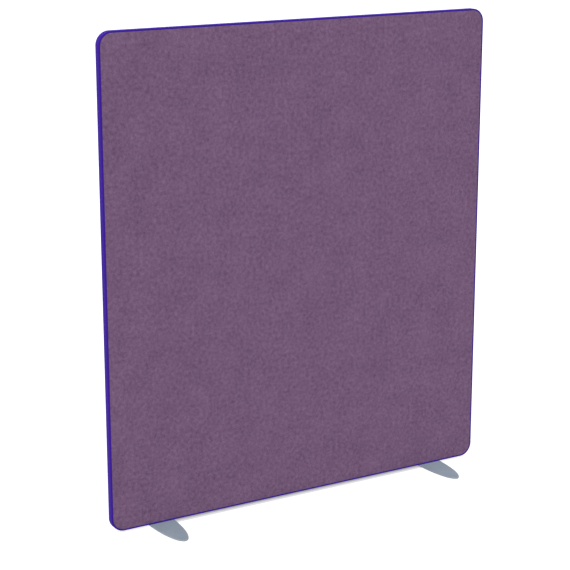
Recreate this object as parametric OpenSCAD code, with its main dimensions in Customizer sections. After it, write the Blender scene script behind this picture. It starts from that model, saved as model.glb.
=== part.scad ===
// Free-standing acoustic divider screen: a timber frame filled with felt boards, upholstered
// on both faces, with a plastic moulding round its edge and two flat elliptical feet.
// Millimetres. The origin is on the floor under the middle of the panel. X runs along the
// panel's width, Y through its thickness with the front towards -Y, and Z is up.

/* [Panel] */
// Width of the panel over its edge trim
screen_w = 1600; // [1000:10:2000]
// Height of the panel over its edge trim, without the feet
screen_h = 1800; // [1000:10:2200]
// Thickness of the panel, which the edge trim spans
screen_t = 28; // [24:0.5:38]
// Radius of the panel's corners, outside the trim
corner_r = 50; // [30:1:70]

/* [Frame] */
// Width of the rails and stiles
rail_w = 70; // [60:1:110]
// Diameter of the dowels in the frame's joints
dowel_d = 8; // [6:0.5:10]
// Length of a dowel, half of it in each member
dowel_l = 40; // [24:1:50]
// Distance between the two dowels of a joint
dowel_pitch = 26; // [20:1:30]

/* [Upholstery] */
// Thickness of the felt cover on each face
fabric_t = 1.5; // [1:0.1:2.5]
// Thickness of the soft pad under each cover
pad_t = 2.5; // [1:0.1:4]
// How far a cover is turned down over the frame's edge
turn_down = 4; // [2:0.5:5]

/* [Edge trim] */
// Height of the moulding's head above the cover
trim_t = 6; // [3:0.1:8]
// Radius of the head's shoulders
trim_round = 2.5; // [0.5:0.1:2.8]
// Width of the groove in the frame's edge
groove_w = 3; // [2.6:0.1:4]
// Depth of the groove in the frame's edge
groove_depth = 10; // [8:0.5:14]
// Number of barbs along each side of the tongue
barbs = 3; // [1:1:3]
// Number of relief notches in the tongue at each corner
corner_notches = 5; // [1:1:7]

/* [Feet] */
// Length of a foot, across the panel
foot_l = 400; // [260:5:560]
// Width of a foot, along the panel
foot_w = 100; // [84:1:150]
// Thickness of a foot's steel plate
foot_t = 5; // [4.5:0.5:8]
// Rounding of the plate's upper edge
foot_round = 1.5; // [0.5:0.1:3]
// Distance from the panel's side edge to the middle of a foot
foot_inset = 202; // [140:1:350]
// Diameter of the rubber pads under a foot
glide_d = 20; // [12:1:24]
// Thickness of the rubber pads under a foot
glide_t = 2; // [1:0.5:5]

/* [Fixings] */
// Diameter of the bolts that hold a foot
bolt_d = 8; // [6:0.5:8]
// Length of a bolt with its head
bolt_l = 30; // [24:1:60]
// Diameter of a bolt's countersunk head
bolt_head_d = 15; // [12:0.5:16]
// Distance between the two bolts of a foot
bolt_pitch = 60; // [40:1:64]
// Outer diameter of the threaded inserts in the bottom rail
insert_d = 12; // [10:0.5:14]
// Length of a threaded insert
insert_l = 20; // [12:1:26]

/* [Hidden] */
// Every piece of the screen, in the order in which it is built up

// Fineness of what isn't rebuilt as a true arc, and the length by which every cut runs over
$fn = 64;
overrun = 1;
quarter_turn = 90;
half_turn = 180;

// Colours
timber = "#C9A878";
beech = "#D9B98A";
board_felt = "#B9B6AE";
wadding = "#EDEAE2";
cover_felt = "#735976";
plastic = "#42279C";
coated_steel = "#8D949E";
zinc = "#C4C6CA";
black_rubber = "#2A2A2C";

// Air between a layer that is wrapped round the frame and the next one
wrap_clear = 0.1;
// Air round a felt board in its bay of the frame
board_clear = 0.3;
// Air round a dowel, and the extra depth at its end for glue
dowel_clear = 0.05;
glue_depth = 1;
// Chamfer at a dowel's ends
dowel_chamfer = 1;

// The frame lies inside the two wrapped layers and the trim's head
seat_out = wrap_clear + fabric_t + wrap_clear;
head_out = seat_out + trim_t;
frame_w = screen_w - 2 * head_out;
frame_h = screen_h - 2 * head_out;
frame_r = corner_r - head_out;
frame_t = screen_t - 2 * (fabric_t + pad_t);
bay_w = (frame_w - 3 * rail_w) / 2;
bay_h = (frame_h - 3 * rail_w) / 2;

// Tongue of the edge trim: its root thickness, its clear depth at the groove's bottom, the air
// beside its barbs, how far the tip narrows, and what is left of the root at a notch
tongue_t = 1.7;
tongue_end_clear = 1.5;
barb_clear = 0.1;
tip_t = 1;
notch_root = 0.5;
notch_w = 3;
// Barbs: from the frame's edge to the first one, from one to the next, and the length of each
barb_start = 1.2;
barb_pitch = 2.2;
barb_l = 1.8;
// Relief of the corner notches: the share of the quarter turn that they spread over
notch_spread_share = 0.8;
// Gap where the two ends of the trim meet, under the middle of the panel
butt_gap = 0.5;

// Bolts: air in the plate and the trim, recess and rim of the head, and its socket
bolt_clear = 0.5;
thread_clear = 0.05;
head_recess = 0.3;
head_rim = 0.4;
socket_w = 5;
socket_depth = 3;
bolt_chamfer = 1;
// Inserts: air in the rail, and the height and pitch of the ridges round them
insert_clear = 0.05;
ridge_h = 0.9;
ridge_pitch = 2.5;
insert_chamfer = 0.5;

// Feet: lower edge's chamfer, steps of the upper rounding, and points round the ellipse
foot_chamfer = 0.4;
round_steps = 3;
ellipse_points = 72;
// Rubber pads: their angle round the ellipse, and their distance in from its edge
glide_angle = 55;
glide_margin = 3;
glide_chamfer = 0.5;

// Heights above the floor
foot_z = glide_t;
panel_z = foot_z + foot_t;
middle_z = panel_z + screen_h / 2;
foot_x = screen_w / 2 - foot_inset;

// Stands what is drawn flat, face up, on the feet: its upper side becomes the front
module stand() {
    translate([0, 0, middle_z]) rotate([quarter_turn, 0, 0]) children();
}

// Rectangle with rounded corners, about the origin
module rounded_rectangle(w, h, r) {
    square([w - 2 * r, h], center = true);
    square([w, h - 2 * r], center = true);
    for (side = [-1, 1], end = [-1, 1])
        translate([side * (w / 2 - r), end * (h / 2 - r)]) circle(r);
}

// Outline of the frame, grown by the given width
module frame_outline(grow = 0) {
    rounded_rectangle(frame_w + 2 * grow, frame_h + 2 * grow, frame_r + grow);
}

// Carries a profile round the frame's outline. In the profile, x is the distance out from the
// outline and y is the place in the thickness.
module around_frame() {
    for (i = [0:3]) {
        across = i % 2 == 0 ? frame_w : frame_h;
        along = i % 2 == 0 ? frame_h : frame_w;
        rotate(i * quarter_turn) {
            translate([across / 2, along / 2 - frame_r, 0]) rotate([quarter_turn, 0, 0])
                linear_extrude(along - 2 * frame_r) children();
            translate([across / 2 - frame_r, along / 2 - frame_r, 0])
                rotate_extrude(angle = quarter_turn) translate([frame_r, 0]) children();
        }
    }
}

// Groove for the trim's tongue, as a profile to cut
module groove_profile() {
    translate([-groove_depth, -groove_w / 2]) square([groove_depth + overrun, groove_w]);
}

// One member of the frame between two corners given in the panel's plane, with the groove
// along whatever part of the outline it holds
module frame_member(from, to) {
    difference() {
        linear_extrude(frame_t, center = true) intersection() {
            frame_outline();
            translate(from) square(to - from);
        }
        around_frame() groove_profile();
    }
}

// A dowel about the origin, along Z
module dowel() {
    r = dowel_d / 2;
    half = dowel_l / 2;
    rotate_extrude() polygon([
        [0, -half], [r - dowel_chamfer, -half], [r, dowel_chamfer - half],
        [r, half - dowel_chamfer], [r - dowel_chamfer, half], [0, half]
    ]);
}

// The hole that a dowel sits in, in both members
module dowel_hole() {
    cylinder(r = dowel_d / 2 + dowel_clear, h = dowel_l + 2 * glue_depth, center = true);
}

// Places children at the dowels between the side stiles and the two long rails
module at_stile_joints() {
    for (side = [-1, 1], end = [-1, 1], pair = [-1, 1])
        translate([
            side * (frame_w - rail_w) / 2 + pair * dowel_pitch / 2,
            end * (frame_h / 2 - rail_w), 0
        ]) rotate([quarter_turn, 0, 0]) children();
}

// Places children at the dowels between the centre stile and the two long rails
module at_centre_joints() {
    for (end = [-1, 1], pair = [-1, 1])
        translate([pair * dowel_pitch / 2, end * (frame_h / 2 - rail_w), 0])
            rotate([quarter_turn, 0, 0]) children();
}

// Places children at the dowels between the cross rails and the stiles
module at_cross_joints() {
    for (side = [-1, 1], x = [frame_w / 2 - rail_w, rail_w / 2], pair = [-1, 1])
        translate([side * x, pair * dowel_pitch / 2, 0]) rotate([0, quarter_turn, 0]) children();
}

// Places children at the bolts of the foot on one side, upright
module at_bolts(side) {
    for (pair = [-1, 1])
        translate([side * foot_x + pair * bolt_pitch / 2, 0, 0]) children();
}

// Holes in the bottom rail for the threaded inserts of both feet, and for the bolts' ends
module insert_holes() {
    for (side = [-1, 1]) at_bolts(side) translate([0, 0, panel_z + head_out - overrun]) {
        cylinder(r = insert_d / 2 + insert_clear, h = insert_l + glue_depth + overrun);
        cylinder(r = bolt_d / 2 + bolt_clear, h = bolt_l + overrun);
    }
}

module top_rail() {
    color(timber) stand() difference() {
        frame_member([-frame_w / 2, frame_h / 2 - rail_w], [frame_w / 2, frame_h / 2]);
        at_stile_joints() dowel_hole();
        at_centre_joints() dowel_hole();
    }
}

module bottom_rail() {
    color(timber) difference() {
        stand() difference() {
            frame_member([-frame_w / 2, -frame_h / 2], [frame_w / 2, rail_w - frame_h / 2]);
            at_stile_joints() dowel_hole();
            at_centre_joints() dowel_hole();
        }
        insert_holes();
    }
}

// The stile at the left for side -1, and at the right for side 1
module side_stile(side) {
    low = side < 0 ? -frame_w / 2 : frame_w / 2 - rail_w;
    color(timber) stand() difference() {
        frame_member([low, rail_w - frame_h / 2], [low + rail_w, frame_h / 2 - rail_w]);
        at_stile_joints() dowel_hole();
        at_cross_joints() dowel_hole();
    }
}

module left_stile() {
    side_stile(-1);
}

module right_stile() {
    side_stile(1);
}

module centre_stile() {
    color(timber) stand() difference() {
        frame_member([-rail_w / 2, rail_w - frame_h / 2], [rail_w / 2, frame_h / 2 - rail_w]);
        at_centre_joints() dowel_hole();
        at_cross_joints() dowel_hole();
    }
}

// The rail at half height, in the bay at the left for side -1 and at the right for side 1
module cross_rail(side) {
    low = side < 0 ? rail_w - frame_w / 2 : rail_w / 2;
    color(timber) stand() difference() {
        frame_member([low, -rail_w / 2], [low + bay_w, rail_w / 2]);
        at_cross_joints() dowel_hole();
    }
}

module left_cross_rail() {
    cross_rail(-1);
}

module right_cross_rail() {
    cross_rail(1);
}

module stile_dowels() {
    color(beech) stand() at_stile_joints() dowel();
}

module centre_stile_dowels() {
    color(beech) stand() at_centre_joints() dowel();
}

module cross_rail_dowels() {
    color(beech) stand() at_cross_joints() dowel();
}

// A felt board in one of the frame's four bays
module board(side, end) {
    color(board_felt) stand()
        translate([side * (rail_w + bay_w) / 2, end * (rail_w + bay_h) / 2, 0])
            cube([bay_w - 2 * board_clear, bay_h - 2 * board_clear, frame_t], center = true);
}

module upper_left_board() {
    board(-1, 1);
}

module upper_right_board() {
    board(1, 1);
}

module lower_left_board() {
    board(-1, -1);
}

module lower_right_board() {
    board(1, -1);
}

// The soft pad over the frame and the boards, on the upper side of the flat panel
module pad() {
    translate([0, 0, frame_t / 2]) linear_extrude(pad_t) frame_outline();
}

// The cover on the upper side of the flat panel: a face, rolled over at its edge and turned
// down over the pad and onto the frame's edge
module cover() {
    fold_z = frame_t / 2 + pad_t;
    translate([0, 0, fold_z]) linear_extrude(fabric_t) frame_outline(wrap_clear);
    around_frame() {
        translate([wrap_clear, frame_t / 2 - turn_down]) square([fabric_t, turn_down + pad_t]);
        intersection() {
            translate([wrap_clear, fold_z]) circle(fabric_t);
            translate([wrap_clear, fold_z]) square(fabric_t);
        }
    }
}

module front_pad() {
    color(wadding) stand() pad();
}

module back_pad() {
    color(wadding) stand() rotate([0, half_turn, 0]) pad();
}

module front_fabric() {
    color(cover_felt) stand() cover();
}

module back_fabric() {
    color(cover_felt) stand() rotate([0, half_turn, 0]) cover();
}

// Head of the trim's profile: flat crown, round shoulders, flat underside on the covers
module head_profile() {
    intersection() {
        translate([seat_out, -screen_t / 2]) square([trim_t, screen_t]);
        union() {
            translate([0, -screen_t / 2]) square([head_out - trim_round, screen_t]);
            translate([0, trim_round - screen_t / 2])
                square([head_out, screen_t - 2 * trim_round]);
            for (edge = [-1, 1])
                translate([head_out - trim_round, edge * (screen_t / 2 - trim_round)])
                    circle(trim_round);
        }
    }
}

// Upper half of the tongue's outline, from the head to the tip, with barbs that point outwards
function tongue_side() = [
    [seat_out, tongue_t / 2],
    for (i = [0:barbs - 1]) let (x = -barb_start - i * barb_pitch) each [
        [x, tongue_t / 2], [x, groove_w / 2 - barb_clear], [x - barb_l, tongue_t / 2]
    ],
    [tongue_end_clear - groove_depth, tip_t / 2]
];

module tongue_profile() {
    side = tongue_side();
    last = len(side) - 1;
    polygon(concat(side, [for (i = [last:-1:0]) [side[i].x, -side[i].y]]));
}

// V-shaped notches in the tongue at the corners, which let the moulding bend round them
module corner_relief() {
    apex = frame_r + seat_out - notch_root;
    inner = frame_r - groove_depth;
    for (i = [0:3], k = [1:corner_notches]) {
        half_w = (i % 2 == 0 ? frame_w : frame_h) / 2 - frame_r;
        half_h = (i % 2 == 0 ? frame_h : frame_w) / 2 - frame_r;
        spread = (k / (corner_notches + 1) - 1 / 2) * notch_spread_share + 1 / 2;
        rotate(i * quarter_turn) translate([half_w, half_h, 0]) rotate(spread * quarter_turn)
            linear_extrude(groove_w, center = true)
                polygon([[apex, 0], [inner, notch_w / 2], [inner, -notch_w / 2]]);
    }
}

// Clearance in the trim for the inserts, which stand in the way of the tongue
module insert_reliefs() {
    cut = insert_d + 2 * bolt_clear;
    for (side = [-1, 1]) at_bolts(side)
        translate([-cut / 2, -groove_w / 2, panel_z + trim_t + notch_root])
            cube([cut, groove_w, seat_out + groove_depth]);
}

// The moulding in one length, with its ends butted under the middle of the panel
module edge_trim() {
    color(plastic) difference() {
        stand() difference() {
            around_frame() {
                head_profile();
                tongue_profile();
            }
            corner_relief();
        }
        insert_reliefs();
        for (side = [-1, 1]) at_bolts(side)
            translate([0, 0, panel_z - overrun])
                cylinder(r = bolt_d / 2 + bolt_clear, h = trim_t + 2 * overrun);
        translate([-butt_gap / 2, -screen_t / 2 - overrun, panel_z - overrun])
            cube([butt_gap, screen_t + 2 * overrun, head_out + groove_depth + overrun]);
    }
}

// Threaded insert with ridges round it, its mouth flush with the rail's lower edge
module insert() {
    r = insert_d / 2;
    root = r - ridge_h;
    bore = bolt_d / 2 + thread_clear;
    ridges = floor((insert_l - 2 * insert_chamfer) / ridge_pitch);
    rotate_extrude() polygon(concat(
        [[bore + insert_chamfer, 0], [r - insert_chamfer, 0], [r, insert_chamfer]],
        [for (i = [0:ridges - 1]) let (z = insert_chamfer + i * ridge_pitch) each [
            [r, z + ridge_pitch / 4], [root, z + ridge_pitch / 2],
            [root, z + ridge_pitch * 3 / 4], [r, z + ridge_pitch]
        ]],
        [[root, insert_l], [bore, insert_l], [bore, insert_chamfer]]
    ));
}

module inserts(side) {
    color(zinc) at_bolts(side) translate([0, 0, panel_z + head_out]) insert();
}

module left_inserts() {
    inserts(-1);
}

module right_inserts() {
    inserts(1);
}

// A point of the plate's ellipse at an angle, moved in from the edge by the given distance
function foot_point(a, inset) =
    let (point = [foot_w / 2 * cos(a), foot_l / 2 * sin(a)])
    let (slope = [cos(a) / foot_w, sin(a) / foot_l])
    point - inset * slope / norm(slope);

// Levels of the plate from its underside up, each a height and a distance in from the ellipse:
// a small chamfer below, the upright edge, and the rounding above
function foot_levels() = concat(
    [[0, foot_chamfer], [foot_chamfer, 0]],
    [for (i = [0:round_steps]) let (a = i * quarter_turn / round_steps)
        [foot_t - foot_round * (1 - sin(a)), foot_round * (1 - cos(a))]]
);

// Elliptical plate with a rounded upper edge, lofted from ring to ring
module foot_plate() {
    levels = foot_levels();
    n = ellipse_points;
    last = len(levels) - 1;
    points = [
        for (level = levels, i = [0:n - 1])
            let (p = foot_point(i * 4 * quarter_turn / n, level[1])) [p.x, p.y, level[0]]
    ];
    sides = [
        for (k = [0:last - 1], i = [0:n - 1]) let (j = (i + 1) % n)
            each [
                [(k + 1) * n + i, k * n + j, k * n + i],
                [(k + 1) * n + i, (k + 1) * n + j, k * n + j]
            ]
    ];
    underside = [for (i = [0:n - 1]) i];
    top = [for (i = [n - 1:-1:0]) last * n + i];
    polyhedron(points, concat([underside, top], sides));
}

// Countersunk bolt, head down at the origin, with a six-sided socket
module bolt() {
    head = bolt_head_d / 2;
    r = bolt_d / 2;
    difference() {
        rotate_extrude() polygon([
            [0, 0], [head, 0], [head, head_rim], [r, head_rim + head - r],
            [r, bolt_l - bolt_chamfer], [r - bolt_chamfer, bolt_l], [0, bolt_l]
        ]);
        translate([0, 0, -overrun])
            cylinder(d = socket_w / cos(half_turn / 6), h = socket_depth + overrun, $fn = 6);
    }
}

// The room that a bolt takes in the plate
module bolt_hole() {
    head = bolt_head_d / 2 + bolt_clear;
    r = bolt_d / 2 + bolt_clear;
    translate([0, 0, -overrun]) cylinder(r = r, h = foot_t + 2 * overrun);
    translate([0, 0, -overrun]) cylinder(r = head, h = overrun + head_recess + head_rim);
    translate([0, 0, head_recess + head_rim]) cylinder(r1 = head, r2 = r, h = head - r);
}

module foot(side) {
    color(coated_steel) translate([0, 0, foot_z]) difference() {
        translate([side * foot_x, 0, 0]) foot_plate();
        at_bolts(side) bolt_hole();
    }
}

module left_foot() {
    foot(-1);
}

module right_foot() {
    foot(1);
}

module foot_bolts(side) {
    color(zinc) at_bolts(side) translate([0, 0, foot_z + head_recess]) bolt();
}

module left_foot_bolts() {
    foot_bolts(-1);
}

module right_foot_bolts() {
    foot_bolts(1);
}

// A rubber pad, standing on the floor
module glide() {
    r = glide_d / 2;
    rotate_extrude() polygon([
        [0, 0], [r - glide_chamfer, 0], [r, glide_chamfer], [r, glide_t], [0, glide_t]
    ]);
}

module foot_pads(side) {
    place = foot_point(glide_angle, glide_d / 2 + glide_margin);
    color(black_rubber) for (across = [-1, 1], along = [-1, 1])
        translate([side * foot_x + across * place.x, along * place.y, 0]) glide();
}

module left_foot_pads() {
    foot_pads(-1);
}

module right_foot_pads() {
    foot_pads(1);
}

top_rail();
bottom_rail();
left_stile();
right_stile();
centre_stile();
left_cross_rail();
right_cross_rail();
stile_dowels();
centre_stile_dowels();
cross_rail_dowels();
upper_left_board();
upper_right_board();
lower_left_board();
lower_right_board();
front_pad();
back_pad();
front_fabric();
back_fabric();
edge_trim();
left_inserts();
right_inserts();
left_foot();
right_foot();
left_foot_bolts();
right_foot_bolts();
left_foot_pads();
right_foot_pads();
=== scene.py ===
# %% [markdown]
# # A felt screen on two flat feet
# The object is an acoustic divider: a thin upright panel, covered in plum felt on both faces,
# with a blue-violet plastic moulding pressed into a groove all round its edge. Two flat
# elliptical steel plates carry it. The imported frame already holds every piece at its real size.
# Here the covers, the wadding, the moulding, the plates and their bolts and rubber pads are
# modelled again, with the soft edges and fine shapes that the frame leaves out. The timber,
# the boards and the inserts inside keep their shape and get their materials.

# %% Load the frame
import math

import bmesh
import bpy
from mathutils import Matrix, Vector


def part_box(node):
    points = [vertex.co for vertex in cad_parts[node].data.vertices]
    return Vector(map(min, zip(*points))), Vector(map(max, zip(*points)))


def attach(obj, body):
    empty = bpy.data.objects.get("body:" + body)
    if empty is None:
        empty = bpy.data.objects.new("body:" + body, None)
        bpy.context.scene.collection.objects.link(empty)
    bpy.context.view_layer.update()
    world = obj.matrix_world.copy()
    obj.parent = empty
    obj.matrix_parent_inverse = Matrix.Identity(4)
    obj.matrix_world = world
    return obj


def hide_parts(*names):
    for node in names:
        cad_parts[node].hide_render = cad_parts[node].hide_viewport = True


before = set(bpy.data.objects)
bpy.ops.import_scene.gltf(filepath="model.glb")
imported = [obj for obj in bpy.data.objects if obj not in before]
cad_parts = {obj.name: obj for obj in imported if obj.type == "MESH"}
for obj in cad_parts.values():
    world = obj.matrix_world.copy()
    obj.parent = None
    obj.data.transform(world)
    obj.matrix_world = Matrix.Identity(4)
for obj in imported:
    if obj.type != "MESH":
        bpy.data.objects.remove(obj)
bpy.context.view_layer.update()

# %% [markdown]
# ## Measures
# Everything is placed from the boxes of the frame's own pieces, so that a new piece lies just
# where the old one was. What a box can't tell is written down as a real size in metres: the
# radius of the panel's corners here, because several pieces share it, and any other size,
# such as the softness of an edge, in the cell that first needs it.

# %% Measures from the frame
panel_low, panel_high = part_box("edge_trim")
panel_w = panel_high.x - panel_low.x
panel_h = panel_high.z - panel_low.z
front_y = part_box("front_fabric")[0].y
panel_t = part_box("back_fabric")[1].y - front_y
middle_z = (panel_low.z + panel_high.z) / 2
corner_r = 0.050
print("panel:", round(panel_w, 4), "x", round(panel_h, 4), "x", round(panel_t, 4))

# %% [markdown]
# ## Camera
# The photograph was taken from the left of the panel and from higher than its top, looking a
# little down. The panel's four edges in it give the camera: how far it stands off, how it is
# turned, and a long lens with little perspective. The place is measured from the front lower
# left corner of the panel, so it follows the panel.

# %% Camera
photo_px = 570
focal_px = 1680.7
sensor_mm = 36.0
camera_from_corner = Vector((-2.3216, -5.1653, 2.4205))
pitch_down = math.radians(14.861)
turned_right = math.radians(30.519)

front_corner = Vector((panel_low.x, front_y, panel_low.z))
bpy.ops.object.camera_add(
    location=front_corner + camera_from_corner,
    rotation=(math.pi / 2 - pitch_down, 0, -turned_right),
)
camera = bpy.context.object
camera.name = "camera"
camera.data.sensor_width = sensor_mm
camera.data.lens = focal_px / photo_px * sensor_mm
camera.data.clip_end = 100
bpy.context.scene.camera = camera
print("camera:", [round(c, 3) for c in camera.location], "lens", round(camera.data.lens, 1))

# %% [markdown]
# ## Small helpers for modelling
# An operator works on whatever is selected, so each step first says what that is. `pick` does
# in code what a click or a box select does by hand: it selects the corners, edges or faces
# that pass a test, mostly on their place or on the way they face.

# %% Helpers for selecting
def select_only(*pieces):
    """Selects these pieces alone, the last of them as the active one."""
    bpy.ops.object.select_all(action="DESELECT")
    for piece in pieces:
        piece.select_set(True)
    bpy.context.view_layer.objects.active = pieces[-1]


def middle_of(thing):
    """The middle of a corner, an edge or a face."""
    corners = [thing] if isinstance(thing, bmesh.types.BMVert) else thing.verts
    return sum((v.co for v in corners), Vector()) / len(corners)


def pick(kind, test):
    """In edit mode, selects only the VERT, EDGE or FACE things that pass the test."""
    bpy.ops.mesh.select_mode(type=kind)
    bpy.ops.mesh.select_all(action="DESELECT")
    data = bpy.context.edit_object.data
    mesh = bmesh.from_edit_mesh(data)
    for thing in {"VERT": mesh.verts, "EDGE": mesh.edges, "FACE": mesh.faces}[kind]:
        if test(thing):
            thing.select_set(True)
    mesh.select_flush_mode()
    bmesh.update_edit_mesh(data)


def near(a, b, slack=1e-5):
    """Whether two places along an axis are the same, to a hundredth of a millimetre."""
    return abs(a - b) < slack


# %% Helpers for starting and shaping a piece
def new_piece(name):
    """Names the primitive just added and moves its place, turn and size into its mesh."""
    piece = bpy.context.object
    piece.name = piece.data.name = name
    select_only(piece)
    bpy.ops.object.transform_apply(location=True, rotation=True, scale=True)
    return piece


def raise_and_scale(rise, scale, middle=(0, 0)):
    """In edit mode, extrudes the selection upwards and scales its new end across."""
    bpy.ops.mesh.extrude_region_move(TRANSFORM_OT_translate={"value": (0, 0, rise)})
    bpy.ops.transform.resize(
        value=(*scale, 1), orient_type="GLOBAL", center_override=(*middle, 0)
    )


def close_seams():
    """In edit mode, merges points that lie on each other and turns every face outwards."""
    bpy.ops.mesh.select_all(action="SELECT")
    bpy.ops.mesh.remove_doubles(threshold=1e-6)
    bpy.ops.mesh.normals_make_consistent(inside=False)


def apply_modifier(piece, kind, **settings):
    """Adds one modifier, sets it up and applies it."""
    select_only(piece)
    modifier = piece.modifiers.new(kind.lower(), kind)
    for setting, value in settings.items():
        setattr(modifier, setting, value)
    bpy.ops.object.modifier_apply(modifier=modifier.name)


def cut_out(piece, cutter):
    """Takes the cutter's shape out of the piece, and throws the cutter away."""
    apply_modifier(piece, "BOOLEAN", operation="DIFFERENCE", object=cutter, solver="EXACT")
    bpy.data.objects.remove(cutter)


# %% Helpers for copies and for the finished piece
def copy_piece(piece, name, by=(0, 0, 0)):
    """A copy with its own mesh, moved by a distance."""
    select_only(piece)
    bpy.ops.object.duplicate(linked=False)
    bpy.ops.transform.translate(value=by)
    return new_piece(name)


def mirrored_copy(piece, name, axis, about=(0, 0, 0)):
    """A copy with its own mesh, on the other side of a plane across one axis."""
    select_only(piece)
    bpy.ops.object.duplicate(linked=False)
    bpy.ops.transform.mirror(
        constraint_axis=(axis == "X", axis == "Y", axis == "Z"), orient_type="GLOBAL",
        center_override=about,
    )
    copy = new_piece(name)
    bpy.ops.object.mode_set(mode="EDIT")
    close_seams()
    bpy.ops.object.mode_set(mode="OBJECT")
    return copy


def join_pieces(*pieces):
    """Joins pieces into the last one."""
    select_only(*pieces)
    bpy.ops.object.join()
    return pieces[-1]


def finish_piece(piece, node, material, angle=30):
    """Smooths a new piece, dresses it and lets it stand for its node in the frame."""
    select_only(piece)
    bpy.ops.object.shade_smooth_by_angle(angle=math.radians(angle))
    piece.data.materials.clear()
    piece.data.materials.append(material)
    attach(piece, "root")
    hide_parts(node)
    low = [round(min(v.co[i] for v in piece.data.vertices), 4) for i in range(3)]
    high = [round(max(v.co[i] for v in piece.data.vertices), 4) for i in range(3)]
    print(piece.name, "stands for", node, len(piece.data.polygons), "faces", low, high)


# %% [markdown]
# ## Node helpers
# A material is a chain of nodes. A socket of a node takes either a plain value or what another
# node puts out, and `feed` does both. With it a node is added in one call that also says what
# goes into it, so that each finish below reads as a list of what it is made of.

# %% Helpers that add nodes
def join(tree, start, end):
    """Links what one node puts out to another node's socket."""
    tree.links.new(start, end)


def feed(tree, value, socket):
    """Gives a socket what another node puts out, or else a plain value."""
    if isinstance(value, bpy.types.NodeSocket):
        join(tree, value, socket)
    else:
        socket.default_value = value


def add_node(tree, kind, **settings):
    """Adds a node. A setting is one of its sockets, or else one of its options."""
    node = tree.nodes.new(kind)
    for setting, value in settings.items():
        if setting in node.inputs:
            feed(tree, value, node.inputs[setting])
        else:
            setattr(node, setting, value)
    return node


def new_group(name, inputs, outputs):
    """A node group with float or vector sockets, given as name: (kind, default)."""
    tree = bpy.data.node_groups.new(name, "ShaderNodeTree")
    for side, sockets in (("INPUT", inputs), ("OUTPUT", outputs)):
        for socket, (kind, default) in sockets.items():
            made = tree.interface.new_socket(socket, in_out=side, socket_type=kind)
            if default is not None:
                made.default_value = default
    return tree, tree.nodes.new("NodeGroupInput"), tree.nodes.new("NodeGroupOutput")


def use_group(tree, group, **settings):
    """Places a node group. A setting is one of its inputs."""
    node = tree.nodes.new("ShaderNodeGroup")
    node.node_tree = group
    for socket, value in settings.items():
        feed(tree, value, node.inputs[socket])
    return node


def new_material(name, **surface):
    """A material with one Principled surface, whose constant values are set on it directly."""
    material = bpy.data.materials.new(name)
    material.use_nodes = True
    tree = material.node_tree
    shader = tree.nodes["Principled BSDF"]
    for socket, value in surface.items():
        shader.inputs[socket].default_value = value
    place = add_node(tree, "ShaderNodeTexCoord").outputs["Object"]
    return material, tree, shader, place


FLOAT, VECTOR = "NodeSocketFloat", "NodeSocketVector"

# %% Helpers for values
def blend_value(tree, a, b, operation):
    """Two values put together by one Math node."""
    node = add_node(tree, "ShaderNodeMath", operation=operation)
    feed(tree, a, node.inputs[0])
    feed(tree, b, node.inputs[1])
    return node.outputs["Value"]


def add_share(tree, a, b, share):
    """The first value, plus a share of the second."""
    return blend_value(tree, a, blend_value(tree, b, share, "MULTIPLY"), "ADD")


def share_out(tree, a, b, share):
    """A share of the second value, and for the rest the first."""
    return add_share(tree, blend_value(tree, a, 1 - share, "MULTIPLY"), b, share)


def spread_value(tree, mask, low, high):
    """A value that goes from low to high while the mask goes from 0 to 1."""
    spread = {"Value": mask, "To Min": low, "To Max": high}
    return add_node(tree, "ShaderNodeMapRange", **spread).outputs["Result"]


def fade(tree, value, start, end):
    """A mask that goes softly from 0 to 1 while the value goes from start to end."""
    reach = {"Value": value, "From Min": start, "From Max": end}
    node = add_node(tree, "ShaderNodeMapRange", interpolation_type="SMOOTHSTEP", **reach)
    return node.outputs["Result"]


def add_noise(tree, place, scale, **settings):
    """A noise whose features are about one metre divided by the scale across."""
    noise = add_node(tree, "ShaderNodeTexNoise", Vector=place, Scale=scale, **settings)
    return noise.outputs["Fac"]


# %% Helpers for colour and relief
def blend_colour(tree, mask, first, second, **settings):
    """A mix of two colours, each of them plain or what another node puts out."""
    node = add_node(tree, "ShaderNodeMix", data_type="RGBA", **settings)
    feed(tree, mask, node.inputs["Factor"])
    for socket, colour in (("A", first), ("B", second)):
        plain = isinstance(colour, tuple)
        feed(tree, (*colour, 1) if plain else colour, node.inputs[socket])
    return node.outputs["Result"]


def add_relief(tree, shader, height, strength, distance):
    """Lets a value raise the surface, through a Bump node."""
    bump = add_node(
        tree, "ShaderNodeBump", Strength=strength, Distance=distance, Height=height
    )
    join(tree, bump.outputs["Normal"], shader.inputs["Normal"])


# %% [markdown]
# ## Mottle
# Wool felt is carded from fibres of several shades, so it is cloudy: soft flecks about a
# centimetre across over fainter patches the size of a hand. One noise texture with many
# octaves gives each size too much alike, so two are added, each with its own scale and share.
# The same clouding serves the cover, the felt boards and the wadding.

# %% Mottle, shared by every felt
def make_mottle():
    tree, given, result = new_group(
        "felt_mottle",
        {
            "Vector": (VECTOR, None), "Fleck Scale": (FLOAT, 75.0),
            "Patch Scale": (FLOAT, 10.0), "Patch Share": (FLOAT, 0.22),
        },
        {"Shade": (FLOAT, 0.5)},
    )
    place, fleck_scale, patch_scale, patch_share = given.outputs[:4]
    fleck = add_noise(tree, place, fleck_scale, Detail=3.0, Roughness=0.62)
    patch = add_noise(tree, place, patch_scale, Detail=2.0, Roughness=0.5)
    mix = add_node(
        tree, "ShaderNodeMix", data_type="FLOAT", Factor=patch_share, A=fleck, B=patch
    )
    join(tree, mix.outputs["Result"], result.inputs["Shade"])
    return tree


mottle = make_mottle()
print("group:", mottle.name)

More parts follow.
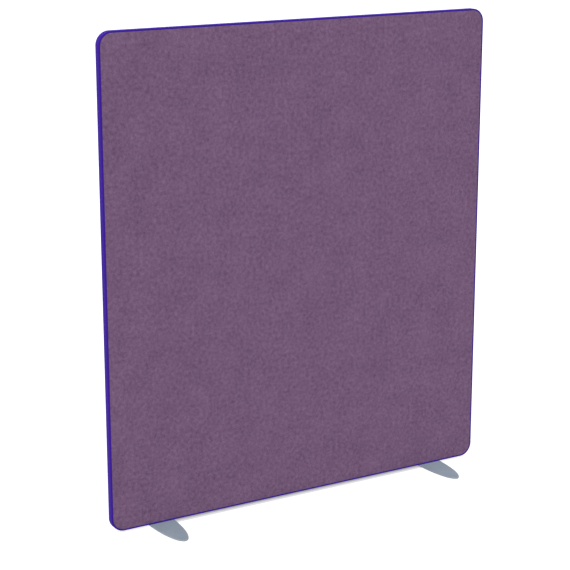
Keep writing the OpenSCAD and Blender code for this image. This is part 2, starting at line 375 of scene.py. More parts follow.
# %% [markdown]
# ## Fibres
# Close to, felt is a mat of short hairs that lie every way in its plane. Coordinates squeezed
# along one direction draw a noise out into hairs that all run that way. Three of them, a sixth
# of a turn from each other, and the strongest of the three taken at every point, give the mat.

# %% Fibres, shared by every felt
hair_ways = 3
first_way = 0.2


def make_fibres():
    tree, given, result = new_group(
        "felt_fibres",
        {"Vector": (VECTOR, None), "Scale": (FLOAT, 450.0), "Length": (FLOAT, 9.0)},
        {"Hair": (FLOAT, 0.0)},
    )
    shorter = blend_value(tree, 1.0, given.outputs["Length"], "DIVIDE")
    shrink = add_node(tree, "ShaderNodeCombineXYZ", X=shorter, Y=1.0, Z=1.0)
    strongest = 0.0
    for way in range(hair_ways):
        turned = add_node(
            tree, "ShaderNodeVectorRotate", rotation_type="Y_AXIS",
            Vector=given.outputs["Vector"], Angle=math.pi / hair_ways * way + first_way,
        )
        squeeze = add_node(tree, "ShaderNodeVectorMath", operation="MULTIPLY")
        join(tree, turned.outputs["Vector"], squeeze.inputs[0])
        join(tree, shrink.outputs["Vector"], squeeze.inputs[1])
        hair = add_noise(
            tree, squeeze.outputs["Vector"], given.outputs["Scale"],
            Detail=2.0, Roughness=0.6, Distortion=0.8,
        )
        strongest = blend_value(tree, strongest, hair, "MAXIMUM")
    join(tree, fade(tree, strongest, 0.5, 0.78), result.inputs["Hair"])
    return tree


fibres = make_fibres()
print("group:", fibres.name)

# %% [markdown]
# ## Felt cover
# The cover's mean is a greyed plum. Its clouding runs from a deep plum to a dusty mauve, and
# a scatter of pale and of dark hairs lies over it. Felt has almost no gloss: it is rough,
# with a faint sheen where its nap stands. Clouding and hairs also raise the surface a little,
# which the bump carries. The dark hairs read the same group as the pale ones, but some metres
# away, so that they fall in other places.

# %% Felt cover material
hair_share = 0.3
dark_hairs_away = 7.0


def make_felt(name, dark, light, hair_light, hair_dark):
    material, tree, shader, place = new_material(
        name, Roughness=0.95, **{"Specular IOR Level": 0.1, "Sheen Weight": 0.05}
    )
    shade = use_group(tree, mottle, Vector=place).outputs["Shade"]
    clouded = add_node(tree, "ShaderNodeValToRGB", Fac=shade)
    for end, position, colour in zip(clouded.color_ramp.elements, (0.3, 0.7), (dark, light)):
        end.position = position
        end.color = (*colour, 1)
    colour = clouded.outputs["Color"]
    hairs = []
    for hair_colour, away in ((hair_light, 0.0), (hair_dark, dark_hairs_away)):
        moved = add_node(tree, "ShaderNodeMapping", Vector=place, Location=(away, 0, away))
        hair = use_group(tree, fibres, Vector=moved.outputs["Vector"]).outputs["Hair"]
        mask = blend_value(tree, hair, hair_share, "MULTIPLY")
        colour = blend_colour(tree, mask, colour, hair_colour)
        hairs.append(hair)
    join(tree, colour, shader.inputs["Base Color"])
    nap = blend_value(tree, hairs[0], hairs[1], "ADD")
    add_relief(tree, shader, add_share(tree, nap, shade, 2.0), strength=0.35, distance=0.0004)
    return material


felt_cover = make_felt(
    "plum_felt", dark=(0.110, 0.0565, 0.1165), light=(0.2215, 0.1265, 0.233),
    hair_light=(0.34, 0.24, 0.36), hair_dark=(0.07, 0.035, 0.09),
)
print("material:", felt_cover.name)

# %% [markdown]
# ## Covers
# On the real screen a sheet of felt is laid over each face, rolled over the edge and turned
# down onto it, where the moulding hides its end. A flat plate would have the size but not the
# roll. So a plane gets round corners by bevelling its four points, its rim is extruded back as
# the turned-down strip, the sharp fold between them is bevelled into a roll, and Solidify
# gives the felt its thickness. Cuts across it make room for the slight unevenness that pressed
# felt over wadding always has.

# %% A plane with round corners
corner_steps = 16


def rounded_plane(name, low, high, y, radius):
    """A plane facing the front, at depth y, with round corners."""
    bpy.ops.object.select_all(action="DESELECT")
    bpy.ops.mesh.primitive_plane_add(
        size=1, location=((low.x + high.x) / 2, y, (low.z + high.z) / 2),
        rotation=(math.pi / 2, 0, 0),
    )
    bpy.context.object.scale = (high.x - low.x, high.z - low.z, 1)
    piece = new_piece(name)
    bpy.ops.object.mode_set(mode="EDIT")
    bpy.ops.mesh.select_all(action="SELECT")
    bpy.ops.mesh.bevel(
        offset=radius, segments=corner_steps, profile=0.5, affect="VERTICES", clamp_overlap=False
    )
    bpy.ops.object.mode_set(mode="OBJECT")
    return piece


def cut_across(axis, low, high, step):
    """In edit mode, cuts the piece into strips along one axis, about one step wide."""
    count = round((high - low) / step)
    normal = Vector([axis == a for a in "XYZ"])
    for i in range(1, count):
        bpy.ops.mesh.select_all(action="SELECT")
        bpy.ops.mesh.bisect(plane_co=normal * (low + (high - low) * i / count), plane_no=normal)


# %% Felt sheet with a rolled edge
cover_low, cover_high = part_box("front_fabric")
turned_down = cover_high.y - cover_low.y
cover_r = corner_r - (panel_high.x - cover_high.x)
roll_r = 0.0016
cover_cell = 0.040


def make_cover(name):
    """The front cover's outer face, still without thickness."""
    piece = rounded_plane(name, cover_low, cover_high, cover_low.y, cover_r)
    bpy.ops.object.mode_set(mode="EDIT")
    cut_across("X", cover_low.x, cover_high.x, cover_cell)
    cut_across("Z", cover_low.z, cover_high.z, cover_cell)
    pick("EDGE", lambda e: e.is_boundary)
    bpy.ops.mesh.extrude_region_move(TRANSFORM_OT_translate={"value": (0, turned_down, 0)})
    pick("EDGE", lambda e: len(e.link_faces) == 2 and near(middle_of(e).y, cover_low.y)
         and e.calc_face_angle() > 1)
    bpy.ops.mesh.bevel(offset=roll_r, segments=5, profile=0.5, affect="EDGES")
    close_seams()
    bpy.ops.object.mode_set(mode="OBJECT")
    return piece


cover = make_cover("front_cover")
print("front cover:", len(cover.data.polygons), "faces before it has its thickness")

# %% [markdown]
# The pad under the felt is never quite even, so the stretched face sinks here and there, by
# up to three tenths of a millimetre over a quarter of a metre. A Displace modifier with a
# cloud texture moves the face along its own direction, inwards only. The rolled rim is kept
# out of it by a vertex group, because the moulding holds the rim straight.

# %% Unevenness and thickness of the covers
felt_t = 0.0015
unevenness = 0.0003
cloud_size = 0.25
rim = 0.030


def free_of_rim(piece, low, high):
    """A vertex group that holds the face, without a strip along its edge."""
    group = piece.vertex_groups.new(name="face")
    inside = [
        v.index for v in piece.data.vertices
        if low.x + rim < v.co.x < high.x - rim and low.z + rim < v.co.z < high.z - rim
    ]
    group.add(inside, 1.0, "REPLACE")
    return group.name


clouds = bpy.data.textures.new("unevenness", "CLOUDS")
clouds.noise_scale = cloud_size
apply_modifier(
    cover, "DISPLACE", texture=clouds, strength=unevenness, mid_level=1.0,
    vertex_group=free_of_rim(cover, cover_low, cover_high),
)
apply_modifier(cover, "SOLIDIFY", thickness=felt_t, offset=-1, use_even_offset=True)
cover.vertex_groups.clear()
back_cover = mirrored_copy(cover, "back_cover", "Y")
finish_piece(cover, "front_fabric", felt_cover, angle=40)
finish_piece(back_cover, "back_fabric", felt_cover, angle=40)

# %% [markdown]
# ## Wadding
# A thin soft layer lies between the felt and the boards, so that their joints don't show
# through. It is a plain cut sheet: flat, as large as the frame, and a little thinner along its
# edge, where the turned felt presses it. It is closed in, but it is still its own sheet here.

# %% Wadding material
def make_wadding(name):
    material, tree, shader, place = new_material(
        name, Roughness=0.95, **{"Specular IOR Level": 0.1}
    )
    finer = {"Fleck Scale": 140.0, "Patch Scale": 16.0}
    shade = use_group(tree, mottle, Vector=place, **finer).outputs["Shade"]
    colour = blend_colour(tree, shade, (0.74, 0.70, 0.62), (0.94, 0.92, 0.88))
    join(tree, colour, shader.inputs["Base Color"])
    add_relief(tree, shader, shade, strength=0.6, distance=0.0008)
    return material


soft_wadding = make_wadding("soft_wadding")
print("material:", soft_wadding.name)

# %% Wadding sheets
wadding_low, wadding_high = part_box("front_pad")
wadding_t = wadding_high.y - wadding_low.y
wadding_r = corner_r - (panel_high.x - wadding_high.x)
wadding_cell = 0.080
pressed = 0.0004

wadding = rounded_plane("front_wadding", wadding_low, wadding_high, wadding_low.y, wadding_r)
bpy.ops.object.mode_set(mode="EDIT")
cut_across("X", wadding_low.x, wadding_high.x, wadding_cell)
cut_across("Z", wadding_low.z, wadding_high.z, wadding_cell)
pick("FACE", lambda f: True)
bpy.ops.mesh.extrude_region_move(TRANSFORM_OT_translate={"value": (0, wadding_t, 0)})
pick("EDGE", lambda e: near(middle_of(e).y, wadding_low.y) and any(
    near(f.normal.y, 0, 0.1) for f in e.link_faces))
bpy.ops.transform.translate(value=(0, pressed, 0))
close_seams()
bpy.ops.object.mode_set(mode="OBJECT")
back_wadding = mirrored_copy(wadding, "back_wadding", "Y")
finish_piece(wadding, "front_pad", soft_wadding)
finish_piece(back_wadding, "back_pad", soft_wadding)

# %% [markdown]

# %% [markdown]
# ## Edge moulding
# The moulding is one length of extruded plastic: a flat crown with soft shoulders, and under
# it a tongue with barbs that grips the groove in the frame. It could be a curve with a bevel
# profile, but a sweep made by hand keeps every line where it belongs. So the profile is drawn
# once as a flat face under the middle of the panel, where the two ends of the real one meet,
# and its outline is then extruded along each side and spun round each corner.

# %% Crown of the moulding
head_h = 0.006
head_w = panel_high.y - panel_low.y
shoulder_r = 0.0025
lip_r = 0.0003
tongue_w = 0.0017
butt_gap = 0.0005


def draw_crown(name):
    """The crown's cut end, standing across the panel under its middle."""
    bpy.ops.object.select_all(action="DESELECT")
    bpy.ops.mesh.primitive_plane_add(
        size=1, location=(butt_gap / 2, 0, panel_low.z + head_h / 2), rotation=(0, math.pi / 2, 0)
    )
    bpy.context.object.scale = (head_h, head_w, 1)
    profile = new_piece(name)
    bpy.ops.object.mode_set(mode="EDIT")
    pick("VERT", lambda v: near(v.co.z, panel_low.z))
    bpy.ops.mesh.bevel(offset=shoulder_r, segments=6, profile=0.5, affect="VERTICES")
    pick("VERT", lambda v: near(v.co.z, panel_low.z + head_h))
    bpy.ops.mesh.bevel(offset=lip_r, segments=2, profile=0.5, affect="VERTICES")
    for side in (-1, 1):
        bpy.ops.mesh.select_all(action="SELECT")
        bpy.ops.mesh.bisect(plane_co=(0, side * tongue_w / 2, 0), plane_no=(0, 1, 0))
    return profile


moulding = draw_crown("edge_moulding")
print("crown:", head_w, "wide,", head_h, "high")

# %% [markdown]
# The tongue grows from the middle of the crown in steps. Each step is a rise and the width at
# its end: the root, then three barbs, each a ledge, a slope back in and a short straight, and
# at the end a taper in place of the last straight.

# %% Tongue of the moulding
barb_w = 0.0028
tip_w = 0.001
barb_steps = [(0.0001, barb_w), (0.0018, tongue_w), (0.0003, tongue_w)]
tongue_steps = [(0.0028, tongue_w)] + 3 * barb_steps
tongue_steps[-1] = (0.0011, tip_w)


def raise_tongue():
    """Draws the tongue up from the middle of the crown's inner side."""
    pick("EDGE", lambda e: near(middle_of(e).z, panel_low.z + head_h)
         and near(middle_of(e).y, 0))
    last = tongue_w
    for rise, width in tongue_steps:
        raise_and_scale(rise, (1, width / last))
        last = width


raise_tongue()
tongue_h = sum(rise for rise, width in tongue_steps)
print("tongue:", round(tongue_h * 1000, 2), "mm high")

# %% Sweep round the panel
turn_steps = 24
corners = [
    (panel_high.x - corner_r, panel_low.z + corner_r),
    (panel_high.x - corner_r, panel_high.z - corner_r),
    (panel_low.x + corner_r, panel_high.z - corner_r),
    (panel_low.x + corner_r, panel_low.z + corner_r),
]
side_runs = [
    (corners[0][0] - butt_gap / 2, 0), (0, corners[1][1] - corners[0][1]),
    (corners[2][0] - corners[1][0], 0), (0, corners[3][1] - corners[2][1]),
    (-butt_gap / 2 - corners[3][0], 0),
]
bpy.ops.mesh.select_all(action="SELECT")
bpy.ops.mesh.dissolve_faces()
bpy.ops.mesh.select_all(action="SELECT")
bpy.ops.mesh.delete(type="ONLY_FACE")
pick("EDGE", lambda e: True)
for number, (along_x, along_z) in enumerate(side_runs):
    bpy.ops.mesh.extrude_region_move(
        TRANSFORM_OT_translate={"value": (along_x, 0, along_z)}
    )
    if number < len(corners):
        corner_x, corner_z = corners[number]
        bpy.ops.mesh.spin(
            steps=turn_steps, angle=math.pi / 2, center=(corner_x, 0, corner_z), axis=(0, 1, 0)
        )
for side in (-1, 1):
    pick("EDGE", lambda e: e.is_boundary and near(middle_of(e).x, side * butt_gap / 2))
    bpy.ops.mesh.edge_face_add()
close_seams()
bpy.ops.object.mode_set(mode="OBJECT")
print("moulding:", len(moulding.data.polygons), "faces after the sweep")

# %% [markdown]
# A stiff tongue can't follow a tight corner, so the fitter snips it: five narrow V cuts at
# each corner, nearly down to the crown. Above the feet the tongue makes way for the threaded
# inserts, and the crown has a hole for each bolt. They are cut with wedges, boxes and rods.

# %% Snips in the tongue at the corners
snips = 5
head_gap = 0.0005
snip_deep = 0.0117
snip_apex = corner_r - head_h - head_gap
snip_root = corner_r - head_h - snip_deep
snip_w = 0.003
snip_point = 0.02
snip_spread = math.radians(48)


def make_snips():
    """Wedges that point outwards, spread over every corner of the panel."""
    bpy.ops.object.select_all(action="DESELECT")
    bpy.ops.mesh.primitive_cube_add(size=1, location=((snip_apex + snip_root) / 2, 0, 0))
    bpy.context.object.scale = (snip_apex - snip_root, snip_w, snip_w)
    wedges = new_piece("snips")
    bpy.ops.object.mode_set(mode="EDIT")
    pick("FACE", lambda f: f.normal.x > 0.9)
    bpy.ops.transform.resize(value=(1, 1, snip_point), center_override=(0, 0, 0))
    bpy.ops.mesh.select_all(action="SELECT")
    bpy.ops.mesh.spin(
        steps=snips - 1, angle=snip_spread, center=(0, 0, 0), axis=(0, 1, 0), dupli=True
    )
    close_seams()
    bpy.ops.object.mode_set(mode="OBJECT")
    wedges.rotation_euler.y = snip_spread / 2 - math.pi / 4
    wedges.location = (corners[1][0], 0, corners[1][1])
    select_only(wedges)
    bpy.ops.object.transform_apply(location=True, rotation=True, scale=True)
    across = mirrored_copy(wedges, "snips_across", "X")
    upper = join_pieces(across, wedges)
    lower = mirrored_copy(upper, "snips_below", "Z", about=(0, 0, middle_z))
    return join_pieces(lower, upper)


snip_cutter = make_snips()
print("snips:", len(snip_cutter.data.polygons) // 6)
cut_out(moulding, snip_cutter)

# %% Room for the bolts and inserts
bolt_low, bolt_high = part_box("left_foot_bolts")
insert_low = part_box("left_inserts")[0]
bolt_head_r = 0.0075
bolt_middles = [bolt_low.x + bolt_head_r, bolt_high.x - bolt_head_r]
bolt_middles += [-x for x in bolt_middles]
bolt_clear_r = 0.0045
insert_room_w = 0.013
insert_room_h = 0.012
groove_w = 0.003
overshoot = 0.002


def make_rods(name, radius, low_z, high_z):
    """Upright rods at the four bolts."""
    rods = []
    for number, x in enumerate(bolt_middles):
        bpy.ops.object.select_all(action="DESELECT")
        bpy.ops.mesh.primitive_cylinder_add(
            vertices=48, radius=radius, depth=high_z - low_z, location=(x, 0, (low_z + high_z) / 2)
        )
        rods.append(new_piece(f"{name}_{number}"))
    return join_pieces(*rods)


def make_insert_room():
    """Boxes as wide as the groove, round the four inserts."""
    low_z = panel_low.z + head_h + head_gap
    high_z = insert_low.z + insert_room_h
    boxes = []
    for number, x in enumerate(bolt_middles):
        bpy.ops.object.select_all(action="DESELECT")
        bpy.ops.mesh.primitive_cube_add(size=1, location=(x, 0, (low_z + high_z) / 2))
        bpy.context.object.scale = (insert_room_w, groove_w, high_z - low_z)
        boxes.append(new_piece(f"insert_room_{number}"))
    return join_pieces(*boxes)


cut_out(moulding, make_insert_room())
cut_out(moulding, make_rods("bolt_holes", bolt_clear_r, panel_low.z - overshoot, insert_low.z))
print("moulding:", len(moulding.data.polygons), "faces with its snips and holes")

# %% [markdown]
# The plastic is dyed right through in a deep blue-violet and has a dull, even gloss. Drawn
# through a die, it carries very fine lines along its length. The crown's width is the panel's
# thickness all the way round, so a noise that reads only that direction draws lines that
# follow the moulding round every corner. A slow change of tone along it keeps it from
# looking painted.

# %% Plastic of the moulding
def make_plastic(name, low, high):
    material, tree, shader, place = new_material(name, **{"Specular IOR Level": 0.04})
    across = add_node(tree, "ShaderNodeMapping", Vector=place, Scale=(0, 1, 0))
    lines = add_noise(tree, across.outputs["Vector"], 1400.0, Detail=2.0, Roughness=0.6)
    tone = add_noise(tree, place, 5.0, Detail=4.0, Roughness=0.6)
    grain = add_noise(tree, place, 900.0, Detail=2.0)
    colour = blend_colour(tree, share_out(tree, tone, lines, 0.3), low, high)
    join(tree, colour, shader.inputs["Base Color"])
    join(tree, spread_value(tree, grain, 0.45, 0.62), shader.inputs["Roughness"])
    add_relief(tree, shader, add_share(tree, lines, grain, 0.4), strength=0.25, distance=0.0001)
    return material


violet_plastic = make_plastic(
    "violet_plastic", low=(0.038, 0.0095, 0.265), high=(0.047, 0.014, 0.305)
)
finish_piece(moulding, "edge_trim", violet_plastic, angle=35)

# %% [markdown]
# ## Feet
# Each foot is an ellipse cut from steel plate, rounded over along its upper edge and coated
# in grey powder. A cylinder drawn out along one axis gives the ellipse, with many sides
# because its ends are tight. Its rims are bevelled, and the holes for the two countersunk
# bolts are cut from below, with a body shaped like the bolt's head.

# %% Foot plate
foot_round = 0.0015
foot_chamfer = 0.0004
foot_border = 0.002


def make_plate(name, node):
    low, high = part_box(node)
    bpy.ops.object.select_all(action="DESELECT")
    bpy.ops.mesh.primitive_cylinder_add(
        vertices=256, radius=0.5, depth=high.z - low.z, location=(low + high) / 2
    )
    bpy.context.object.scale = (high.x - low.x, high.y - low.y, 1)
    plate = new_piece(name)
    bpy.ops.object.mode_set(mode="EDIT")
    pick("EDGE", lambda e: near(middle_of(e).z, high.z))
    bpy.ops.mesh.bevel(offset=foot_round, segments=5, profile=0.5, affect="EDGES")
    pick("EDGE", lambda e: near(middle_of(e).z, low.z))
    bpy.ops.mesh.bevel(offset=foot_chamfer, segments=2, profile=0.5, affect="EDGES")
    pick("FACE", lambda f: abs(f.normal.z) > 0.99)
    bpy.ops.mesh.inset(thickness=foot_border)
    close_seams()
    bpy.ops.object.mode_set(mode="OBJECT")
    return plate


left_plate = make_plate("left_plate", "left_foot")
print("plate:", len(left_plate.data.polygons), "faces before its holes")

# %% Countersunk holes
mouth_r = 0.008
mouth_deep = 0.002
mouth_top = bolt_low.z + 0.0004
hole_top = 0.003


def make_countersinks():
    """Bodies shaped like the bolts' heads, a little larger, to cut from the left plate."""
    cutters = []
    for x in bolt_middles[:2]:
        bpy.ops.object.select_all(action="DESELECT")
        bpy.ops.mesh.primitive_cylinder_add(
            vertices=64, radius=mouth_r, depth=mouth_deep,
            location=(x, 0, mouth_top - mouth_deep / 2),
        )
        cutters.append(new_piece("countersink"))
        bpy.ops.object.mode_set(mode="EDIT")
        pick("FACE", lambda f: f.normal.z > 0.9)
        raise_and_scale(mouth_r - bolt_clear_r, [bolt_clear_r / mouth_r] * 2, (x, 0))
        raise_and_scale(hole_top, (1, 1), (x, 0))
        bpy.ops.object.mode_set(mode="OBJECT")
    return join_pieces(*cutters)


cut_out(left_plate, make_countersinks())
right_plate = mirrored_copy(left_plate, "right_plate", "X")
print("plate:", len(left_plate.data.polygons), "faces")

# %% [markdown]
# Powder coat is sprayed as dust and melted, so it ends as a smooth skin with the shallow
# waves called orange peel, about a millimetre and a half across. Two more noises go with
# them: grit, which varies the gloss and a share of the tone, and broad clouds for the rest of
# the tone. Plated steel and rubber have the same three, with much finer grit and smaller
# clouds, so the skin is a node group of its own. The grey plates' grit is two millimetres
# across, and most of their tone follows it.

# %% Skin, shared by plates, bolts, inserts and rubber pads
def make_skin():
    tree, given, result = new_group(
        "skin",
        {
            "Vector": (VECTOR, None), "Wave Scale": (FLOAT, 650.0),
            "Grit Scale": (FLOAT, 3000.0), "Cloud Scale": (FLOAT, 14.0),
        },
        {"Height": (FLOAT, 0.5), "Grit": (FLOAT, 0.5), "Cloud": (FLOAT, 0.5)},
    )
    place, wave_scale, grit_scale, cloud_scale = given.outputs[:4]
    wave = add_noise(tree, place, wave_scale, Detail=1.0)
    grit = add_noise(tree, place, grit_scale, Detail=2.0)
    cloud = add_noise(tree, place, cloud_scale, Detail=4.0)
    join(tree, add_share(tree, wave, grit, 0.2), result.inputs["Height"])
    join(tree, grit, result.inputs["Grit"])
    join(tree, cloud, result.inputs["Cloud"])
    return tree


skin = make_skin()
print("group:", skin.name)

# %% Finishes made with the skin
def make_skinned(name, low, high, gloss, rise, scales, grit_share=0.25, **surface):
    """A hard finish whose tone follows the skin's clouds and grit, and its gloss the grit."""
    material, tree, shader, place = new_material(name, **surface)
    layer = use_group(tree, skin, Vector=place, **scales)
    cloud, grit = layer.outputs["Cloud"], layer.outputs["Grit"]
    colour = blend_colour(tree, share_out(tree, cloud, grit, grit_share), low, high)
    join(tree, colour, shader.inputs["Base Color"])
    join(tree, spread_value(tree, grit, *gloss), shader.inputs["Roughness"])
    add_relief(tree, shader, layer.outputs["Height"], strength=0.4, distance=rise)
    return material


powder_coat = make_skinned(
    "grey_powder_coat", low=(0.130, 0.166, 0.202), high=(0.363, 0.428, 0.493),
    gloss=(0.42, 0.62), rise=0.00012, scales={"Grit Scale": 500.0, "Cloud Scale": 9.0},
    grit_share=0.6,
)
finish_piece(left_plate, "left_foot", powder_coat, angle=35)
finish_piece(right_plate, "right_foot", powder_coat, angle=35)

# %% [markdown]
# ## Bolts
# Two countersunk bolts draw each plate up against the panel. Seen from below a bolt is a flat
# disc with a six-sided socket. It grows from its head: a short rim, the cone that sits in the
# plate, a plain shank and then the thread. The thread is a stack of ridges at its real pitch,
# which is all that shows of a screw line at this size. Each ridge is four steps, given by
# their share of the pitch and the radius at their end.

# %% Shape of a bolt
bolt_r = 0.004
head_rim = 0.0004
plain_shank = 0.0035
thread_r = 0.0034
pitch = 0.00125
ridge = [(0.4, thread_r), (0.15, thread_r), (0.4, bolt_r), (0.05, bolt_r)]
tip_r = thread_r - 0.0004
socket_across = 0.005
socket_deep = 0.003

bolt_l = bolt_high.z - bolt_low.z
threads = int((bolt_l - head_rim - bolt_head_r + bolt_r - plain_shank) / pitch)
bolt_steps = [(bolt_head_r - bolt_r, bolt_r), (plain_shank, bolt_r)]
bolt_steps += [(pitch * share, radius) for share, radius in ridge] * threads
bolt_steps.append((bolt_l - head_rim - sum(rise for rise, radius in bolt_steps), tip_r))
print("bolt:", threads, "ridges of thread")

# %% Bolts
def make_bolt(name, x):
    bpy.ops.object.select_all(action="DESELECT")
    bpy.ops.mesh.primitive_cylinder_add(
        vertices=48, radius=bolt_head_r, depth=head_rim, location=(x, 0, bolt_low.z + head_rim / 2)
    )
    bolt = new_piece(name)
    bpy.ops.object.mode_set(mode="EDIT")
    pick("FACE", lambda f: f.normal.z > 0.9)
    last = bolt_head_r
    for rise, radius in bolt_steps:
        raise_and_scale(rise, [radius / last] * 2, (x, 0))
        last = radius
    close_seams()
    bpy.ops.object.mode_set(mode="OBJECT")
    bpy.ops.object.select_all(action="DESELECT")
    bpy.ops.mesh.primitive_cylinder_add(
        vertices=6, radius=socket_across / 2 / math.cos(math.pi / 6), depth=2 * socket_deep,
        location=(x, 0, bolt_low.z),
    )
    cut_out(bolt, new_piece("socket"))
    return bolt


bolt = make_bolt("left_bolts", bolt_middles[0])
second_bolt = copy_piece(bolt, "second_bolt", by=(bolt_middles[1] - bolt_middles[0], 0, 0))
left_bolts = join_pieces(second_bolt, bolt)
right_bolts = mirrored_copy(left_bolts, "right_bolts", "X")
zinc_plate = make_skinned(
    "bright_zinc", low=(0.50, 0.52, 0.54), high=(0.62, 0.64, 0.66), gloss=(0.28, 0.42),
    rise=0.00003, scales={"Cloud Scale": 220.0}, Metallic=1.0,
)
finish_piece(left_bolts, "left_foot_bolts", zinc_plate)
finish_piece(right_bolts, "right_foot_bolts", zinc_plate)

# %% [markdown]
# ## Rubber pads
# Four small rubber pads keep each plate off the floor. Each is a disc with a soft lower edge
# and a hollow middle, so that it grips with its rim. One is modelled, and its three fellows
# are mirrored from it about the plate's middle.

# %% Rubber pads
pad_low, pad_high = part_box("left_foot_pads")
pad_r = 0.010
pad_round = 0.0005
pad_rim = 0.0025
hollow_slope = 0.0005
hollow_deep = 0.0005
hollow_border = 0.004
plate_x = (pad_low.x + pad_high.x) / 2


def make_pad(name):
    height = pad_high.z - pad_low.z
    x, y = pad_low.x + pad_r, pad_low.y + pad_r
    bpy.ops.object.select_all(action="DESELECT")
    bpy.ops.mesh.primitive_cylinder_add(
        vertices=48, radius=pad_r, depth=height, location=(x, y, pad_low.z + height / 2)
    )
    pad = new_piece(name)
    bpy.ops.object.mode_set(mode="EDIT")
    pick("EDGE", lambda e: near(middle_of(e).z, pad_low.z))
    bpy.ops.mesh.bevel(offset=pad_round, segments=3, profile=0.5, affect="EDGES")
    pick("FACE", lambda f: f.normal.z < -0.99)
    bpy.ops.mesh.inset(thickness=pad_rim)
    bpy.ops.mesh.inset(thickness=hollow_slope)
    bpy.ops.transform.translate(value=(0, 0, hollow_deep))
    bpy.ops.mesh.inset(thickness=hollow_border)
    close_seams()
    bpy.ops.object.mode_set(mode="OBJECT")
    return pad


pad = make_pad("left_pads")
across = mirrored_copy(pad, "pad_across", "X", about=(plate_x, 0, 0))
front_pads = join_pieces(across, pad)
back_pads = mirrored_copy(front_pads, "back_pads", "Y")
left_pads = join_pieces(back_pads, front_pads)
right_pads = mirrored_copy(left_pads, "right_pads", "X")
black_rubber = make_skinned(
    "black_rubber", low=(0.016, 0.016, 0.018), high=(0.030, 0.030, 0.032), gloss=(0.65, 0.85),
    rise=0.00005, scales={"Cloud Scale": 90.0},
)
finish_piece(left_pads, "left_foot_pads", black_rubber)
finish_piece(right_pads, "right_foot_pads", black_rubber)

# %% [markdown]
# ## Timber, boards and inserts
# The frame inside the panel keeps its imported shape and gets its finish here. Softwood has
# growth rings that show as long wavy bands along each member. A wave texture gives the bands,
# bent by a noise, and a second noise drawn out along the grain gives the short dark pores.
# Both read coordinates that are turned so that the grain runs along the member.

# %% Wood grain
def make_grain():
    tree, given, result = new_group(
        "wood_grain",
        {
            "Vector": (VECTOR, None), "Ring Scale": (FLOAT, 28.0),
            "Pore Scale": (FLOAT, 600.0),
        },
        {"Ring": (FLOAT, 0.5), "Pore": (FLOAT, 0.5)},
    )
    place, ring_scale, pore_scale = given.outputs[:3]
    drawn = add_node(tree, "ShaderNodeMapping", Vector=place, Scale=(0.05, 1, 1))
    rings = add_node(
        tree, "ShaderNodeTexWave", bands_direction="Z", Vector=drawn.outputs["Vector"],
        Scale=ring_scale, Distortion=5.0, Detail=2.0, **{"Detail Scale": 0.6},
    )
    pores = add_noise(tree, drawn.outputs["Vector"], pore_scale, Detail=3.0, Roughness=0.6)
    join(tree, rings.outputs["Fac"], result.inputs["Ring"])
    join(tree, pores, result.inputs["Pore"])
    return tree


grain = make_grain()
print("group:", grain.name)

# %% Timber of the frame and its dowels
def make_wood(name, early, late, upright, **scales):
    material, tree, shader, place = new_material(name, **{"Specular IOR Level": 0.3})
    turn = math.pi / 2 if upright else 0
    turned = add_node(tree, "ShaderNodeMapping", Vector=place, Rotation=(0, turn, 0))
    lines = use_group(tree, grain, Vector=turned.outputs["Vector"], **scales)
    ring, pore = lines.outputs["Ring"], lines.outputs["Pore"]
    colour = blend_colour(tree, ring, early, late)
    darker = blend_colour(tree, 0.35, colour, pore, blend_type="MULTIPLY")
    join(tree, darker, shader.inputs["Base Color"])
    join(tree, spread_value(tree, ring, 0.55, 0.75), shader.inputs["Roughness"])
    add_relief(tree, shader, pore, strength=0.4, distance=0.0002)
    return material


def dress(nodes, material):
    """Gives nodes of the frame, which keep their shape, a new finish."""
    for node in nodes:
        for slot in bpy.data.objects[node].material_slots:
            slot.material = material
    print(material.name, "on", ", ".join(nodes))


softwood = {"early": (0.62, 0.42, 0.22), "late": (0.50, 0.31, 0.14)}
beech = {"early": (0.66, 0.46, 0.28), "late": (0.58, 0.38, 0.21), "Ring Scale": 120.0}
dress(["top_rail", "bottom_rail", "left_cross_rail", "right_cross_rail"],
      make_wood("softwood_along", upright=False, **softwood))
dress(["left_stile", "right_stile", "centre_stile"],
      make_wood("softwood_upright", upright=True, **softwood))
dress(["stile_dowels", "centre_stile_dowels"],
      make_wood("beech_upright", upright=True, **beech))
dress(["cross_rail_dowels"], make_wood("beech_along", upright=False, **beech))

# %% Felt boards and threaded inserts
board_felt = make_felt(
    "grey_board_felt", dark=(0.40, 0.38, 0.35), light=(0.56, 0.54, 0.50),
    hair_light=(0.72, 0.70, 0.66), hair_dark=(0.22, 0.21, 0.20),
)
insert_metal = make_skinned(
    "yellow_zinc", low=(0.52, 0.47, 0.30), high=(0.66, 0.62, 0.46), gloss=(0.30, 0.45),
    rise=0.00003, scales={"Cloud Scale": 180.0}, Metallic=1.0,
)
dress([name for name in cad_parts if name.endswith("_board")], board_felt)
dress(["left_inserts", "right_inserts"], insert_metal)
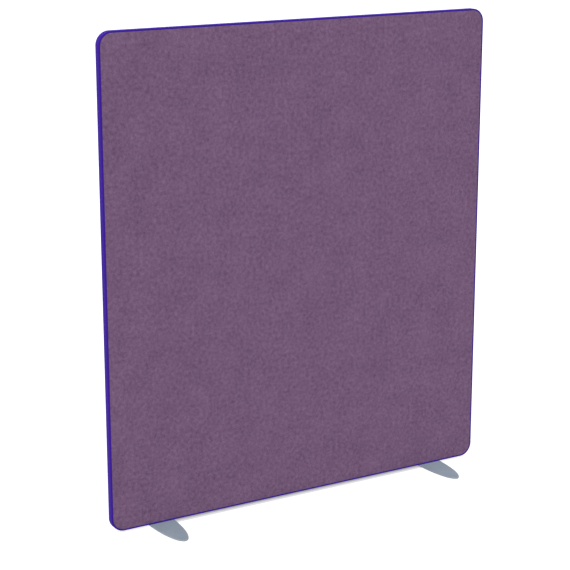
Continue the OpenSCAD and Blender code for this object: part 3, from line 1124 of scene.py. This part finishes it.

# %% [markdown]
# ## Studio
# The photograph shows the screen cut free on white, lit evenly from all round, with only a
# thin grey strip of shadow close under the panel, from one foot to the other. A white world
# gives the even light. A wide soft sun from the front left evens out the upright faces with
# the level ones. The floor is plain mid grey, so that it throws a normal amount of light back
# up. Where it is seen it has much the same grey and also glows, so that it meets the white
# background and keeps only deep shadow. Close to the panel, between the feet, it glows least,
# which paints a strip of shade there on top of the real shadow, so that the shadow there stays
# a good deal darker, as in the photograph.

# %% Rays that show the background
def background_rays(tree):
    """1 for a ray that shows the background, and 0 for one that only carries light."""
    rays = tree.nodes.new("ShaderNodeLightPath")
    direct = blend_value(
        tree, rays.outputs["Is Camera Ray"], rays.outputs["Is Glossy Ray"], "MAXIMUM"
    )
    return blend_value(tree, direct, rays.outputs["Is Transmission Ray"], "MAXIMUM")


# %% Floor
floor_size = 60
floor_grey = 0.4
seen_grey = 0.42
floor_glow = 0.8
shade_strip_glow = 0.35
strip_end = 0.58
strip_soft = 0.02
strip_reach = (0.006, 0.021)


def make_floor_material():
    material = bpy.data.materials.new("studio_floor")
    material.use_nodes = True
    tree = material.node_tree
    tree.nodes.clear()
    place = add_node(tree, "ShaderNodeTexCoord").outputs["Object"]
    apart = add_node(tree, "ShaderNodeSeparateXYZ", Vector=place)
    from_middle, from_panel = [
        blend_value(tree, apart.outputs[axis], 0.0, "ABSOLUTE") for axis in ("X", "Y")
    ]
    # In a strip under the panel, between the feet, the floor glows less than elsewhere: this is
    # painted shade under the panel.
    beside = fade(tree, from_middle, strip_end - strip_soft, strip_end + strip_soft)
    beyond = fade(tree, from_panel, *[panel_t / 2 + reach for reach in strip_reach])
    away = blend_value(tree, beside, beyond, "MAXIMUM")
    level = spread_value(tree, away, shade_strip_glow, floor_glow)
    plain = add_node(tree, "ShaderNodeBsdfDiffuse", Color=(*[floor_grey] * 3, 1))
    grey = add_node(tree, "ShaderNodeBsdfDiffuse", Color=(*[seen_grey] * 3, 1))
    glow = add_node(tree, "ShaderNodeEmission", Color=(0.96, 0.945, 1.0, 1), Strength=level)
    seen = tree.nodes.new("ShaderNodeAddShader")
    join(tree, grey.outputs["BSDF"], seen.inputs[0])
    join(tree, glow.outputs["Emission"], seen.inputs[1])
    mix = add_node(tree, "ShaderNodeMixShader", Fac=background_rays(tree))
    join(tree, plain.outputs["BSDF"], mix.inputs[1])
    join(tree, seen.outputs["Shader"], mix.inputs[2])
    add_node(tree, "ShaderNodeOutputMaterial", Surface=mix.outputs["Shader"])
    return material


bpy.ops.object.select_all(action="DESELECT")
bpy.ops.mesh.primitive_plane_add(size=floor_size, location=(0, 0, 0))
floor = new_piece("studio_floor")
floor.data.materials.append(make_floor_material())
print("floor:", floor_size, "m, strip of shadow", 2 * strip_end, "m long")

# %% World
world_strength = 0.85


def make_world(name):
    world = bpy.data.worlds.new(name)
    world.use_nodes = True
    tree = world.node_tree
    background = tree.nodes["Background"]
    background.inputs["Color"].default_value = (1, 1, 1, 1)
    level = spread_value(tree, background_rays(tree), world_strength, 1.0)
    join(tree, level, background.inputs["Strength"])
    return world


bpy.context.scene.world = make_world("studio_white")
print("world:", world_strength, "as light, 1.0 as background")

# %% Lamp and plain colours
sun_from = Vector((-0.45, -0.45, 0.77))
sun_place = (-3, -3, 3)
bpy.ops.object.light_add(type="SUN", location=sun_place)
sun = bpy.context.object
sun.name = "soft_sun"
sun.rotation_euler = sun_from.to_track_quat("Z", "Y").to_euler()
sun.data.energy = 2.0
sun.data.angle = math.radians(60)
bpy.context.scene.view_settings.view_transform = "Standard"
print("sun:", sun.data.energy, "from", [round(c, 2) for c in sun_from])
